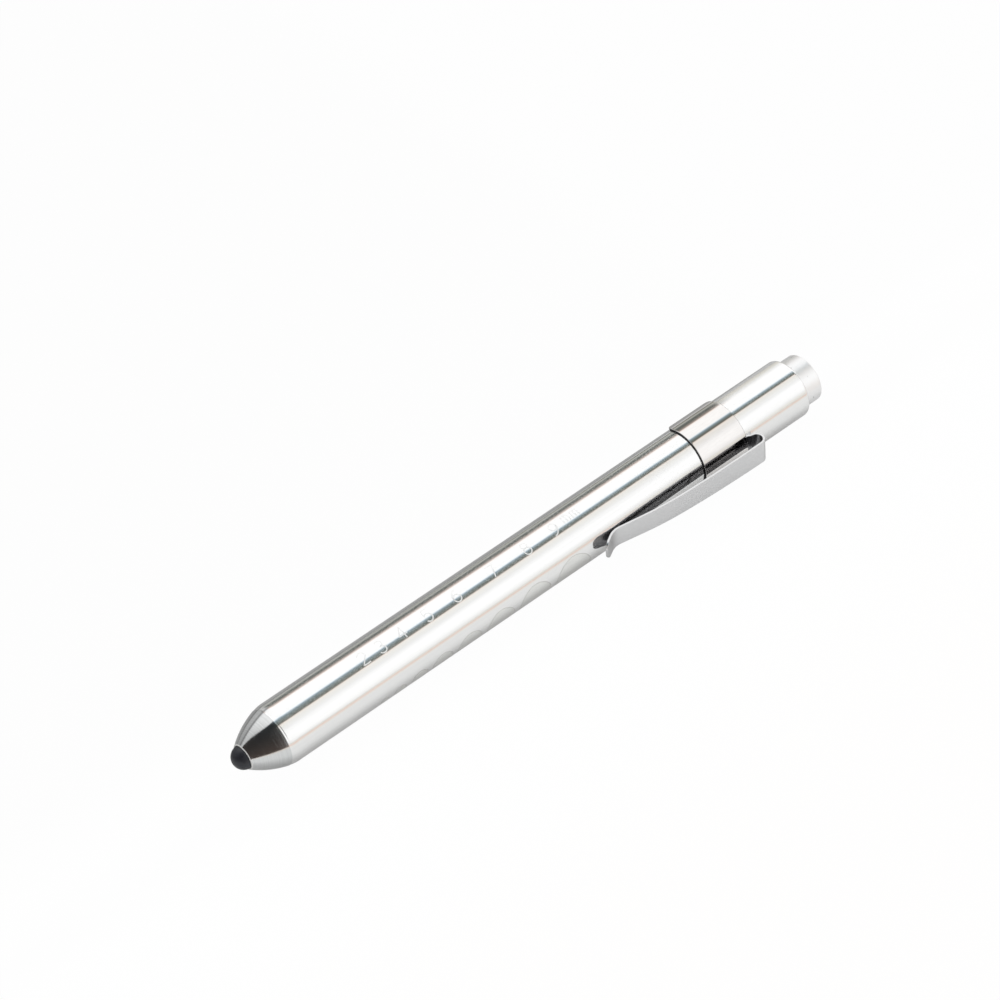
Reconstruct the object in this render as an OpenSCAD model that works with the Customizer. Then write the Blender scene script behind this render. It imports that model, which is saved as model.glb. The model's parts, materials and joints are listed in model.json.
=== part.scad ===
// Penlight: a polished tube with a turned nose, a 5 mm lamp, a pocket clip and a screw-in push-button tail.
// The pen lies along X with the nose seam at x = 0, the tail at high x and the clip towards -Y.
// It is then placed with its lowest point on z = 0 and the middle of its box over the origin.

/* [Tube] */
// Outer radius of the barrel and of the tail
tube_r = 6.35; // [6.2:0.05:6.6]
// Length of the barrel from the nose seam to the tail seam
barrel_l = 116.05; // [115:0.05:118]
// Radius of the bore that holds the cells
bore_r = 5.32; // [5.28:0.01:5.35]
// Radius of the round where the barrel runs into the nose
shoulder_round = 7.15; // [5:0.05:9]
// Length of the straight land on the barrel's front edge
seam_land = 0.2; // [0.1:0.05:0.4]

/* [Nose] */
// Length of the nose from its rim to the seam
nose_l = 6.85; // [6:0.05:8]
// Radius of the rim round the lamp
rim_r = 2.68; // [2.6:0.02:3]
// Radius of the nose at the seam
seam_r = 6.09; // [5.9:0.01:6.2]
// Radius of the nose's bulging side
nose_arc_r = 19.5; // [15:0.5:40]
// Length of the spigot inside the barrel
spigot_l = 8.2; // [8.2:0.1:10]

/* [Lamp] */
// Radius of the lamp's clear body
lamp_r = 2.45; // [2.4:0.01:2.48]
// Distance from the seam forward to the centre of the dome
dome_x = 6.65; // [6:0.05:7]
// Radius of the flange at the lamp's base
flange_r = 2.9; // [2.7:0.05:3]
// Width of a square lamp lead
lead_w = 0.5; // [0.4:0.05:0.6]
// Distance between the two leads
lead_pitch = 2.54; // [2.4:0.02:2.6]

/* [Cells] */
// Radius of one cell
cell_r = 5.22; // [5:0.01:5.25]
// Length of one cell with its nub
cell_l = 44.5; // [43.5:0.1:44.5]

/* [Clip] */
// Where the band starts behind the nose seam
band_x = 104.64; // [104:0.02:106]
// Outer radius of the band
band_r = 6.82; // [6.7:0.02:7]
// Half of the opening between the band's two ends, at the back
band_opening = 4.25; // [3.8:0.05:4.5]
// Width of the clip's strip at the U-turn
clip_w = 5.3; // [5:0.1:5.6]
// Width of the strip at its tip
tip_w = 4.35; // [3.8:0.05:4.6]
// Thickness of the clip's strip
clip_t = 0.45; // [0.4:0.05:0.55]
// Outer radius of the U-turn behind the band
turn_r = 1.72; // [1.68:0.02:1.8]
// How far the U-turn reaches behind the band
turn_l = 2.65; // [2.5:0.05:3]
// Angle at which the tip flares away from the barrel
flare_angle = 30; // [25:1:35]
// Length of the flared tip
flare_l = 2.8; // [2.5:0.1:3.2]

/* [Tail] */
// Length of the tail from its seam to its rear edge
tail_l = 17.48; // [17:0.02:18]
// Edge round at the rear of the tail
tail_round = 0.6; // [0.3:0.05:0.9]
// Radius of the screw thread
thread_r = 5.7; // [5.65:0.01:5.72]

/* [Button] */
// Radius of the button
button_r = 5.18; // [5:0.01:5.2]
// How far the button stands out of the tail
button_out = 4.33; // [4:0.01:5]
// Edge round of the button
button_round = 0.25; // [0.1:0.05:0.5]
// Travel of the button
travel = 2.2; // [1.5:0.1:2.2]

/* [Hidden] */
$fn = 96;

// Gaps: a sliding fit, a loose fit round fixed pieces, a stop at rest, and two faces that only meet
slide_gap = 0.08;
loose_gap = 0.04;
stop_gap = 0.05;
touch = 0.02;
// How far a cut runs past the face that it opens
over = 1;

// Tube: where the shoulder's round ends, and the counterbore that takes the thread
shoulder_x = seam_land + sqrt(2 * shoulder_round * (tube_r - seam_r) - pow(tube_r - seam_r, 2));
thread_bore_r = thread_r + slide_gap;
thread_bore_l = 8.55;
// Tube and band start beside their lowest line, so that the pen never balances on an edge of their meshes
start_turn = -2;

// Nose: centre of the side's arc, as [radius, x]
rim = [rim_r, -nose_l];
seam = [seam_r, 0];
chord = seam - rim;
chord_side = [-chord[1], chord[0]] / norm(chord);
nose_centre = (rim + seam) / 2 + chord_side * sqrt(pow(nose_arc_r, 2) - pow(norm(chord) / 2, 2));

// Lamp: the flange, its seat in the nose, and the plastic holder behind it
flange_x0 = -1.4;
flange_x1 = -0.4;
holder_x0 = -0.35;
holder_r = 4.36;
holder_x1 = spigot_l;
contact_r = 3;
contact_t = 0.78;
contact_nub = 0.8;
cathode_foot_x = 3;
post_x = -4.6;
anvil_x = -5.1;
anvil_l = 1.5;
cup_r = 0.6;

// Cells: nub tips and ends along x
cell_x0 = holder_x1 + contact_nub + touch;
cell_x1 = cell_x0 + cell_l + touch;
cell_end = cell_x1 + cell_l;
nub_r = 1.9;
nub_l = 0.9;
cell_shoulder = 0.5;
cell_foot = 0.25;

// Clip: middle line of the strip, as [x, height over the axis]
clip_gap = 0.05;
band_edge = 0.15;
band_in_r = tube_r + touch;
band_corner = 2.2;
turn_mid_r = turn_r - clip_t / 2;
turn_x = barrel_l + turn_l - turn_r;
root_h = tube_r + clip_gap + clip_t / 2;
crown = [turn_x + turn_mid_r, root_h + turn_mid_r];
split = 0.03;
tip_round = 1.7;
// The long run falls towards the barrel in three bends, and ends in a straight foot before the flared tip
back_bend = [8, 1.4];
middle_bend = [12, 2.2];
front_bend = [10.5, 7.2];
foot_l = 5;
heel_r = 4;
fall_angle = back_bend[1] + middle_bend[1] + front_bend[1];
heel_angle = fall_angle + flare_angle;
// Each bend is [length, turn in degrees], walked from the crown to the tip
bow = [[turn_mid_r * PI / 2, 90], back_bend, middle_bend, front_bend, [foot_l, 0],
       [heel_r * heel_angle * PI / 180, -heel_angle], [flare_l, 0]];
hook = [[turn_x - barrel_l, 0], [turn_mid_r * PI / 2, 90]];
bend_steps = 12;

// Tail: everything along x behind the tail seam
seam_gap = 0.1;
tail_x = barrel_l + seam_gap;
tail_end = tail_x + tail_l;
tail_bore_r = thread_r + stop_gap;
lip_t = 1.03;
lip_gap = 0.1;
lip_hole_r = button_r + lip_gap;
bush_end_gap = 0.5;
bush_in_tail = 4.85;
bush_x0 = barrel_l - thread_bore_l + bush_end_gap;
bush_x1 = tail_x + bush_in_tail;
bush_bore_r = 4.75;

// Switch: seat, carrier and contacts, which all end level with the bush
seat_inset = 1;
seat_x = bush_x0 + seat_inset;
seat_t = 0.6;
seat_r = 4;
seat_rim = 0.25;
carrier_x0 = seat_x + seat_t + touch;
pin_head_t = 0.43;
carrier_x1 = bush_x1 - pin_head_t - touch;
carrier_r = bush_bore_r - loose_gap;
recess_l = 3;
recess_x = bush_x1 - recess_l;
recess_r = 4.1;
boss_r = 2.4;
pin_r = 1;
pin_head_r = 1.8;
disc_x = bush_x1 + travel + stop_gap;
disc_t = 0.4;
disc_r = 5.3;

// Button: cap and plunger
button_end = tail_end + button_out;
cap_flange_x1 = tail_end - lip_t - stop_gap;
cap_flange_t = 1;
cap_flange_r = tail_bore_r - slide_gap;
cap_inner_r = 4.3;
cap_end_t = 1.26;
plunger_r = 2.2;
plunger_flange_r = 4.2;
plunger_flange_t = 1;
socket_r = 3.2;
socket_l = 2.5;

// Springs: [middle radius of the coil, radius of the wire, number of turns, front end, rear end]
battery_coil = [3.3, 0.35, 6, cell_end + 2 * touch, seat_x - touch];
return_coil = [3.2, 0.225, 3.5, recess_x + touch, disc_x - touch];
rings_per_turn = 8;
wire_sides = 6;

// Middle of the whole pen's box, for placing it
nose_tip = -dome_x - lamp_r;
mid_x = (nose_tip + button_end) / 2;
clip_top = root_h + 2 * turn_mid_r + split + clip_t / 2;
mid_y = (tube_r - clip_top) / 2;

// Turns a profile drawn as [radius, x] about the pen's axis
module turned() {
    rotate([0, 90, 0]) rotate_extrude() children();
}

// A plain ring or disc in that profile
module band(r0, r1, x0, x1) {
    translate([r0, x0]) square([r1 - r0, x1 - x0]);
}

// Stands the pen on z = 0 with its box centred
module placed() {
    translate([-mid_x, -mid_y, band_r]) children();
}

// Small steps [length, turn] along a list of bends
function small_steps(bends) = [for (b = bends, i = [1:b[1] == 0 ? 1 : bend_steps])
    b[1] == 0 ? b : [b[0] / bend_steps, b[1] / bend_steps]];

// Points and headings along the steps, from point p with heading a
function walk(p, a, steps, i = 0) = i == len(steps) ? [[p, a]] :
    concat([[p, a]], walk(p + steps[i][0] * [cos(a + steps[i][1] / 2), sin(a + steps[i][1] / 2)],
                          a + steps[i][1], steps, i + 1));

// A bent strip of the clip's width along such a walk
module strip(route) {
    sides = [for (s = [-1, 1]) [for (q = route) q[0] + s * clip_t / 2 * [-sin(q[1]), cos(q[1])]]];
    outline = concat(sides[0], [for (i = [len(route) - 1:-1:0]) sides[1][i]]);
    mirror([0, 1, 0]) linear_extrude(clip_w, center = true) polygon(outline);
}

// Middle line of a coil as [turned angle, x], with a straight run of one wire at each end
function coil_line(c) =
    let (run = 2 * c[1], count = c[2] * rings_per_turn, climb = c[4] - c[3] - 2 * run)
    concat([[0, c[3]]],
           [for (i = [0:count]) [360 * i / rings_per_turn, c[3] + run + climb * i / count]],
           [[360 * c[2], c[4]]]);

// A point of the coil, and the direction out from the axis there
function coil_out(q) = [0, cos(q[0]), sin(q[0])];
function coil_point(c, q) = c[0] * coil_out(q) + [q[1], 0, 0];

// Least gap between two stretches of one coil that lie over half a turn apart
function coil_gap(c) =
    let (points = [for (q = coil_line(c)) coil_point(c, q)], last = len(points) - 1)
    min([for (i = [0:last], j = [i + rings_per_turn / 2 + 1:1:last]) norm(points[i] - points[j])]) - 2 * c[1];

// One unbroken wire along the coil
module coil(c) {
    line = coil_line(c);
    points = [for (q = line) coil_point(c, q)];
    last = len(points) - 1;
    rings = [for (i = [0:last])
        let (ahead = points[min(i + 1, last)] - points[i],
             behind = points[i] - points[max(i - 1, 0)],
             a = i == last ? behind : ahead,
             b = i == 0 ? ahead : behind,
             sum = a / norm(a) + b / norm(b),
             along = i == 0 || i == last ? [1, 0, 0] : sum / norm(sum),
             out = coil_out(line[i]),
             side = cross(along, out))
        for (k = [0:wire_sides - 1])
            points[i] + c[1] * (cos(360 * k / wire_sides) * out + sin(360 * k / wire_sides) * side)];
    walls = [for (i = [0:last - 1], k = [0:wire_sides - 1])
        let (n = (k + 1) % wire_sides, p = i * wire_sides, q = p + wire_sides)
        each [[p + k, q + n, p + n], [p + k, q + k, q + n]]];
    caps = [for (k = [1:wire_sides - 2])
        each [[0, k, k + 1], [last * wire_sides, last * wire_sides + k + 1, last * wire_sides + k]]];
    polyhedron(rings, concat(walls, caps));
}

module barrel_tube() {
    color("#dfe1e3") placed() rotate([start_turn, 0, 0]) turned() difference() {
        union() {
            band(0, seam_r, 0, shoulder_x);
            band(0, tube_r, shoulder_x, barrel_l);
            intersection() {
                band(0, tube_r, 0, shoulder_x);
                translate([tube_r - shoulder_round, shoulder_x]) circle(shoulder_round);
            }
        }
        band(-over, bore_r, -over, barrel_l + over);
        band(bore_r - over, thread_bore_r, barrel_l - thread_bore_l, barrel_l + over);
    }
}

module nose_cone() {
    color("#c9ccce") placed() turned() difference() {
        union() {
            intersection() {
                translate(nose_centre) circle(nose_arc_r);
                band(0, tube_r, -nose_l, 0);
            }
            band(0, bore_r - loose_gap, -over, spigot_l);
        }
        band(-over, lamp_r + loose_gap, -nose_l - over, spigot_l + over);
        band(0, flange_r + loose_gap, flange_x0 - touch, spigot_l + over);
        band(0, holder_r + loose_gap, holder_x0, spigot_l + over);
    }
}

// The two leads stand above and below the axis; grow gives them room inside other pieces
module anode_shape(grow) {
    translate([post_x - grow, -lead_w / 2 - grow, lead_pitch / 2 - lead_w / 2 - grow])
        cube([holder_x1 - contact_t - touch - post_x + grow, lead_w + 2 * grow, lead_w + 2 * grow]);
}

module cathode_shape(grow) {
    low = -lead_pitch / 2 - lead_w / 2;
    translate([anvil_x - grow, -lead_w / 2 - grow, low - grow])
        cube([cathode_foot_x + lead_w - anvil_x + 2 * grow, lead_w + 2 * grow, lead_w + 2 * grow]);
    translate([anvil_x - grow, -lead_w / 2 - grow, low - grow])
        cube([anvil_l + 2 * grow, lead_w + 2 * grow, cup_r - low + 2 * grow]);
    translate([anvil_x - lead_w - grow, 0, 0]) rotate([0, 90, 0])
        cylinder(lead_w + 3 * grow, cup_r + grow, cup_r + grow);
    translate([cathode_foot_x - grow, -lead_w / 2 - grow, -holder_r])
        cube([lead_w + 2 * grow, lead_w + 2 * grow, holder_r + low + lead_w + grow]);
}

module led_body() {
    color("#3a4350") placed() difference() {
        turned() {
            intersection() {
                translate([0, -dome_x]) circle(lamp_r);
                band(0, lamp_r, -dome_x - lamp_r, -dome_x);
            }
            band(0, lamp_r, -dome_x, flange_x1);
            band(0, flange_r, flange_x0, flange_x1);
        }
        anode_shape(touch);
        cathode_shape(touch);
    }
}

module led_anode() {
    color("#b9bcc0") placed() anode_shape(0);
}

module led_cathode() {
    color("#b9bcc0") placed() cathode_shape(0);
}

module led_holder() {
    color("#2b2c2e") placed() difference() {
        turned() difference() {
            band(0, holder_r, holder_x0, holder_x1);
            band(-over, contact_r + loose_gap, holder_x1 - contact_t - touch, holder_x1 + over);
        }
        anode_shape(touch);
        cathode_shape(touch);
    }
}

module front_contact() {
    color("#c8a24a") placed() turned() {
        band(0, contact_r, holder_x1 - contact_t, holder_x1);
        band(0, nub_r, holder_x1 - contact_t, holder_x1 + contact_nub);
    }
}

// One cell with its nub at x0
module cell(x0) {
    x1 = x0 + cell_l;
    shoulder = x0 + nub_l;
    placed() turned() polygon([[0, x0], [nub_r, x0], [nub_r, shoulder], [cell_r - cell_shoulder, shoulder],
                               [cell_r, shoulder + cell_shoulder], [cell_r, x1 - cell_foot],
                               [cell_r - cell_foot, x1], [0, x1]]);
}

module battery_front() {
    color("#3f6f4a") cell(cell_x0);
}

module battery_rear() {
    color("#3f6f4a") cell(cell_x1);
}

// Outline of the opening at the back, as [x, z]: the band's ends have round corners
module opening_outline() {
    corner_z = band_opening + band_corner;
    difference() {
        translate([band_x - over, -corner_z]) square([barrel_l - band_x + 2 * over, 2 * corner_z]);
        for (s = [-1, 1]) {
            for (x = [band_x + band_corner, barrel_l - band_corner])
                translate([x, s * corner_z]) circle(band_corner);
            translate([band_x + band_corner, s * corner_z - band_corner])
                square([barrel_l - band_x - 2 * band_corner, 2 * band_corner]);
        }
    }
}

module clip_band() {
    color("#d2d4d6") placed() {
        difference() {
            rotate([start_turn, 0, 0]) turned() {
                band(band_in_r, band_r - band_edge, band_x, barrel_l);
                band(band_in_r, band_r, band_x + band_edge, barrel_l - band_edge);
                for (x = [band_x + band_edge, barrel_l - band_edge])
                    translate([band_r - band_edge, x]) circle(band_edge);
            }
            translate([0, 2 * band_r, 0]) rotate([90, 0, 0]) linear_extrude(2 * band_r) opening_outline();
        }
        intersection() {
            turned() band(tube_r + clip_gap, band_r, barrel_l - over, turn_x);
            translate([0, -tube_r, 0]) cube([2 * barrel_l, 2 * tube_r, clip_w], center = true);
        }
        strip(walk([barrel_l, root_h], 0, small_steps(hook)));
    }
}

// Outline of the arm as [x, z]: as wide as the U-turn at the back, narrowing to a round tip
module arm_outline(tip_x) {
    round_x = tip_x + tip_round;
    back_x = turn_x + turn_r + over;
    round_z = tip_w / 2 - tip_round;
    polygon([[round_x, -tip_w / 2], [turn_x, -clip_w / 2], [back_x, -clip_w / 2],
             [back_x, clip_w / 2], [turn_x, clip_w / 2], [round_x, tip_w / 2]]);
    translate([tip_x, -round_z]) square([tip_round, 2 * round_z]);
    for (s = [-1, 1]) translate([round_x, s * round_z]) circle(tip_round);
}

module clip_arm() {
    route = walk(crown + [0, split], 90, small_steps(bow));
    tip_x = route[len(route) - 1][0][0] - clip_t / 2 * sin(flare_angle);
    color("#c3c5c7") placed() intersection() {
        strip(route);
        rotate([90, 0, 0]) linear_extrude(2 * band_r) arm_outline(tip_x);
    }
}

module battery_spring() {
    color("#bfc3c8") placed() coil(battery_coil);
}

module spring_seat() {
    color("#c8a24a") placed() turned() {
        band(0, seat_r, seat_x, seat_x + seat_t);
        band(seat_r - seat_rim, seat_r, seat_x - seat_t, seat_x + seat_t);
    }
}

module tail_housing() {
    color("#dfe1e3") placed() turned() difference() {
        union() {
            band(0, tube_r, tail_x, tail_end - tail_round);
            band(0, tube_r - tail_round, tail_x, tail_end);
            translate([tube_r - tail_round, tail_end - tail_round]) circle(tail_round);
        }
        band(-over, tail_bore_r, tail_x - over, tail_end - lip_t);
        band(-over, lip_hole_r, tail_x - over, tail_end + over);
    }
}

module thread_bush() {
    color("#c9ccce") placed() turned() band(bush_bore_r, thread_r, bush_x0, bush_x1);
}

module switch_carrier() {
    color("#2b2c2e") placed() turned() difference() {
        band(pin_r + loose_gap, carrier_r, carrier_x0, carrier_x1);
        band(boss_r, recess_r, recess_x, carrier_x1 + over);
    }
}

module contact_pin() {
    color("#c8a24a") placed() turned() {
        band(0, pin_r, carrier_x0, bush_x1);
        band(0, pin_head_r, carrier_x1 + touch, bush_x1);
    }
}

module return_spring() {
    color("#bfc3c8") placed() coil(return_coil);
}

module contact_disc() {
    color("#c8a24a") placed() turned() band(0, disc_r, disc_x, disc_x + disc_t);
}

module plunger() {
    front = disc_x + disc_t + touch;
    color("#e6e4dc") placed() turned() {
        band(0, plunger_flange_r, front, front + plunger_flange_t);
        band(0, plunger_r, front, button_end - cap_end_t - touch);
    }
}

module button_cap() {
    front = cap_flange_x1 - cap_flange_t;
    color("#e8e9ea") placed() turned() difference() {
        union() {
            band(0, button_r, front, button_end - button_round);
            band(0, button_r - button_round, front, button_end);
            translate([button_r - button_round, button_end - button_round]) circle(button_round);
            band(0, cap_flange_r, front, cap_flange_x1);
        }
        difference() {
            band(-over, cap_inner_r, front - over, button_end - cap_end_t);
            band(plunger_r + loose_gap, socket_r, button_end - cap_end_t - socket_l, button_end);
        }
    }
}

echo(battery_spring_gap = coil_gap(battery_coil), return_spring_gap = coil_gap(return_coil));
echo(clip_flex_axis = [crown[0] - mid_x, -crown[1] - mid_y, band_r], button_face = button_end - mid_x);

barrel_tube();
nose_cone();
led_body();
led_anode();
led_cathode();
led_holder();
front_contact();
battery_front();
battery_rear();
clip_band();
clip_arm();
battery_spring();
spring_seat();
tail_housing();
thread_bush();
switch_carrier();
contact_pin();
return_spring();
contact_disc();
plunger();
button_cap();
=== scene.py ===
# %% [markdown]
# # A penlight with a pupil gauge
# The real thing is a polished aluminium tube with a lathe-turned nose, a small dark lamp, a sprung steel clip and a
# push button. Its shapes are already packed as solids, so this script adds what solids can't hold: finishes, the
# etched gauge, a clip with soft edges, cut threads and the light that a mirror needs.
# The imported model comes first, because every later step measures itself against it.

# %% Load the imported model
import json
import math
import bmesh
import bpy
from mathutils import Matrix, Vector


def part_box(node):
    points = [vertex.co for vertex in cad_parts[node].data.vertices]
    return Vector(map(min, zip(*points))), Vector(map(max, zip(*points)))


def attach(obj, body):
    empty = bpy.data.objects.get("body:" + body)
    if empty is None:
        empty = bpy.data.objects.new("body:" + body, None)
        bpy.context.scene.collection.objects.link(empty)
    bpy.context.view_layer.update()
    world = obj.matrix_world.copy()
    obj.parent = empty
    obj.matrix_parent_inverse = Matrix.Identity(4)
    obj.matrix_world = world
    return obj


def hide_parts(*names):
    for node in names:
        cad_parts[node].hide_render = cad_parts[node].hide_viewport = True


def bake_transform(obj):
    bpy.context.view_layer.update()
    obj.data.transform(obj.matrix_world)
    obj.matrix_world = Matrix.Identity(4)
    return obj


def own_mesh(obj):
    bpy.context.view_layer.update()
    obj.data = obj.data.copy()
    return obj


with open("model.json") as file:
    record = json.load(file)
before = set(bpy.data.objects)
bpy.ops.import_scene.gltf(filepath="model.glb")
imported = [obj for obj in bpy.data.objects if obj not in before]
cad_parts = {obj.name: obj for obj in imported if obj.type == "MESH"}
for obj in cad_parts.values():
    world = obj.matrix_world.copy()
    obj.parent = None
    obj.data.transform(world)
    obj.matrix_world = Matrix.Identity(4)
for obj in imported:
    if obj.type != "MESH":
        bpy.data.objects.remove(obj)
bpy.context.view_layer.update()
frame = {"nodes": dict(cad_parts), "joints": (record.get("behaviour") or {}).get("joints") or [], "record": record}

MM = 0.001
scene = bpy.context.scene
scene.view_settings.view_transform = "Standard"

# %% [markdown]
# ## Where the pen lies
# Nearly every piece is round about one axis, so the axis and the tube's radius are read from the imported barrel.
# A place on the pen is then given as a maker would give it: how far along, how far round and how far out. The angle
# round the pen starts at the clip, which points along -Y, and goes up over the top.

# %% Measures and a way to name places round the pen
barrel_low, barrel_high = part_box("barrel_tube")
axis_y = (barrel_low.y + barrel_high.y) / 2
axis_z = (barrel_low.z + barrel_high.z) / 2
tube_r = (barrel_high.z - barrel_low.z) / 2
seam_x = barrel_low.x
barrel_end = barrel_high.x


def round_pen(along, degrees, out):
    """A point in the row frame: metres along X, degrees up from the clip's side, metres out from the axis."""
    turn = math.radians(degrees)
    return Vector((along, axis_y - out * math.cos(turn), axis_z + out * math.sin(turn)))


print(f"axis at y {axis_y / MM:.3f}, z {axis_z / MM:.3f}; tube radius {tube_r / MM:.3f} mm")

# %% [markdown]
# ## Camera
# The photograph was taken with a long lens from the nose side, looking down at about 44 degrees, and the camera was
# turned a little about its own line of sight. A tracked empty would also work, but a place, a heading and a roll say
# the same with three plain values, and they stay put when the other views move the camera.

# %% Camera at the photograph's place
camera_place = Vector((-327.38 * MM, axis_y - 420.505 * MM, axis_z + 538.22 * MM))
camera_heading = math.radians(37.395)
camera_pitch = math.radians(44.337)
camera_roll = math.radians(5.524)
camera_lens = 141.44

level_ahead = Vector((math.sin(camera_heading), math.cos(camera_heading), 0))
ahead = level_ahead * math.cos(camera_pitch) - Vector((0, 0, 1)) * math.sin(camera_pitch)
turned = Matrix.Rotation(camera_roll, 4, ahead) @ ahead.to_track_quat("-Z", "Y").to_matrix().to_4x4()

lens = bpy.data.cameras.new("camera")
lens.lens = camera_lens
lens.sensor_width = 36
lens.clip_start = 0.01
camera = bpy.data.objects.new("camera", lens)
camera.matrix_world = Matrix.Translation(camera_place) @ turned
scene.collection.objects.link(camera)
scene.camera = camera
print("camera looks along", [round(v, 4) for v in ahead], "right is", [round(v, 4) for v in turned.col[0][:3]])

# %% [markdown]
# ## Small helpers for node trees
# Every finish and the studio itself are node trees. Writing each node on one line keeps the recipes short enough to
# read as recipes: a texture, what it drives, and how strongly.

# %% Node helpers


def node(tree, kind, **settings):
    """One new shader node with its own settings."""
    made = tree.nodes.new("ShaderNode" + kind)
    for key, value in settings.items():
        setattr(made, key, value)
    return made


def feed(tree, target, source):
    """Gives a socket a value, or links another socket to it."""
    if isinstance(source, bpy.types.NodeSocket):
        tree.links.new(source, target)
    else:
        target.default_value = source


def sum_node(tree, operation, *values):
    """A Math node over numbers or sockets, as its result socket."""
    made = node(tree, "Math", operation=operation)
    for target, value in zip(made.inputs, values):
        feed(tree, target, value)
    return made.outputs[0]


def graded(tree, source, stops):
    """A Color Ramp: stops are (place from 0 to 1, colour)."""
    ramp = node(tree, "ValToRGB")
    points = ramp.color_ramp.elements
    while len(points) < len(stops):
        points.new(0.5)
    for point, (place, colour) in zip(points, stops):
        point.position = place
        point.color = (*colour, 1)
    feed(tree, ramp.inputs["Fac"], source)
    return ramp.outputs["Color"]


def spread(tree, source, edges, results=(0.0, 1.0), kind="LINEAR"):
    """Runs between two results while the source runs between two edges, and stays level outside them."""
    ramp = node(tree, "MapRange", interpolation_type=kind)
    feed(tree, ramp.inputs["Value"], source)
    ramp.inputs["From Min"].default_value, ramp.inputs["From Max"].default_value = edges
    ramp.inputs["To Min"].default_value, ramp.inputs["To Max"].default_value = results
    return ramp.outputs["Result"]


def mixed(tree, factor, first, second, blend="MIX"):
    """One colour blended into another."""
    both = node(tree, "Mix", data_type="RGBA", blend_type=blend)
    for name, source in (("Factor", factor), ("A", first), ("B", second)):
        feed(tree, both.inputs[name], source)
    return both.outputs["Result"]


def shared(tree, factor, first, second):
    """One shader blended into another."""
    both = node(tree, "MixShader")
    for target, source in zip(both.inputs, (factor, first, second)):
        feed(tree, target, source)
    return both.outputs[0]


def blank_material(name):
    """A new material with an empty node tree."""
    material = bpy.data.materials.new(name)
    material.use_nodes = True
    material.node_tree.nodes.clear()
    return material


def grey(level):
    return (level, level, level)


print("node helpers ready")

# %% [markdown]
# ## The studio
# A mirror shows nothing but its surroundings, so the surroundings are the finish. The photograph's tube tells what
# stood round it: a wide white card in front, a second one behind, a gap between them right over the pen and something
# low and dark at the back that ends before the tail. All of it is long in the pen's own direction, so a sky that
# changes with the angle about X gives the same bands as real cards, with soft edges and no noise. The front card was
# not quite parallel to the pen: its edge is shifted by a few degrees from nose to tail. To the camera itself the sky
# is plain white.

# %% Sky: cards and gaps by their angle over the front horizon
card_level = 1.15
# Each band is (degrees over the front horizon, colour as a share of the card level), as the tube shows it
front_bands = [
    (0.0, (0.80, 0.79, 0.75)),
    (4.0, grey(0.84)),
    (8.0, grey(0.90)),
    (14.0, grey(0.97)),
    (22.0, grey(1.00)),
    (36.0, grey(1.00)),
    (46.0, grey(0.96)),
    (54.0, grey(0.88)),
    (61.0, (0.835, 0.83, 0.81)),
    (67.0, (0.82, 0.81, 0.785)),
    (71.0, (0.86, 0.83, 0.79)),
    (74.4, (0.80, 0.73, 0.67)),
    (77.4, (0.25, 0.24, 0.22)),
    (82.0, (0.225, 0.24, 0.225)),
    (88.5, (0.28, 0.32, 0.33)),
    (92.0, (0.36, 0.43, 0.48)),
    (95.5, (0.80, 0.87, 0.91)),
    (98.5, grey(1.00)),
]
low_back_bands = [
    (136.0, grey(1.00)),
    (139.0, (0.95, 0.89, 0.85)),
    (142.0, (0.73, 0.64, 0.60)),
    (145.0, (0.50, 0.43, 0.40)),
    (148.5, (0.35, 0.315, 0.29)),
    (153.0, (0.215, 0.21, 0.195)),
    (158.5, (0.165, 0.178, 0.168)),
    (163.0, (0.235, 0.24, 0.23)),
    (168.0, (0.41, 0.415, 0.39)),
    (171.0, (0.40, 0.405, 0.375)),
    (176.0, (0.25, 0.248, 0.22)),
    (180.0, (0.215, 0.213, 0.195)),
]
tail_back_bands = [
    (136.0, grey(1.00)),
    (146.0, grey(0.97)),
    (152.0, grey(0.90)),
    (163.0, (0.745, 0.73, 0.69)),
    (175.0, (0.63, 0.61, 0.565)),
    (180.0, (0.61, 0.59, 0.55)),
]
nose_back_bands = [
    (136.0, grey(1.00)),
    (146.0, grey(0.92)),
    (150.0, grey(0.40)),
    (153.0, grey(0.26)),
    (156.0, grey(0.34)),
    (160.0, grey(0.52)),
    (180.0, grey(0.46)),
]
# Places along the pen are X parts of a direction. What is low at the back is paler by the nose and ends at the tail,
# and it moves up by some degrees towards the tail
nose_back_end = (0.12, 0.28)
low_back_end = (0.4872, 0.4878)
low_back_span, low_back_shift = (0.37, 0.43), (-6.0, 0.0)
# Slant of the front card: where along the pen it runs, its shift in degrees, and the angles over which it fades out
slant_span, slant_shift, slant_fade = (0.37, 0.50), (3.2, -4.2), (80, 90)
# Level of the cards beyond the nose
card_fade_span, card_fade = (-0.50, -0.08), (0.58, 1.0)
# Angle at which the front bands hand over to the back ones
back_from = 117.0
print(sum(map(len, (front_bands, nose_back_bands, low_back_bands, tail_back_bands))), "bands in the sky")

# %% [markdown]
# ### Haze on the tube
# The bands are written as the tube shows them. Its fine scratches scatter a part of the light, so the cards must have
# had more contrast than that. The scattered part is a mean of what lies round a band, and it is taken off here. Only
# the bands by the nose stay as they are, because the nose has no such scratches.

# %% Bands without the haze
# The haze's share of the light, its spread in degrees, and the angles over which it is added up
haze_share, haze_spread, haze_angles = 0.15, 20.0, range(-60, 61, 2)
# Levels of the floor in front of the pen and behind it, where the sheet carries painted shade, and the limits of a
# level
floor_front, floor_back = 0.80, 0.42
level_limits = (0.03, 1.02)


def shown(angle, back):
    """Colour that the tube shows at an angle, between the stops round it."""
    if angle < 0 or angle > 180:
        return Vector(grey(floor_front if angle < 0 else floor_back))
    stops = front_bands if angle < back_from else back
    place = min(max(angle, stops[0][0]), stops[-1][0])
    for (low, first), (high, second) in zip(stops, stops[1:]):
        if place <= high:
            return Vector(first).lerp(Vector(second), (place - low) / (high - low))


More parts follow.
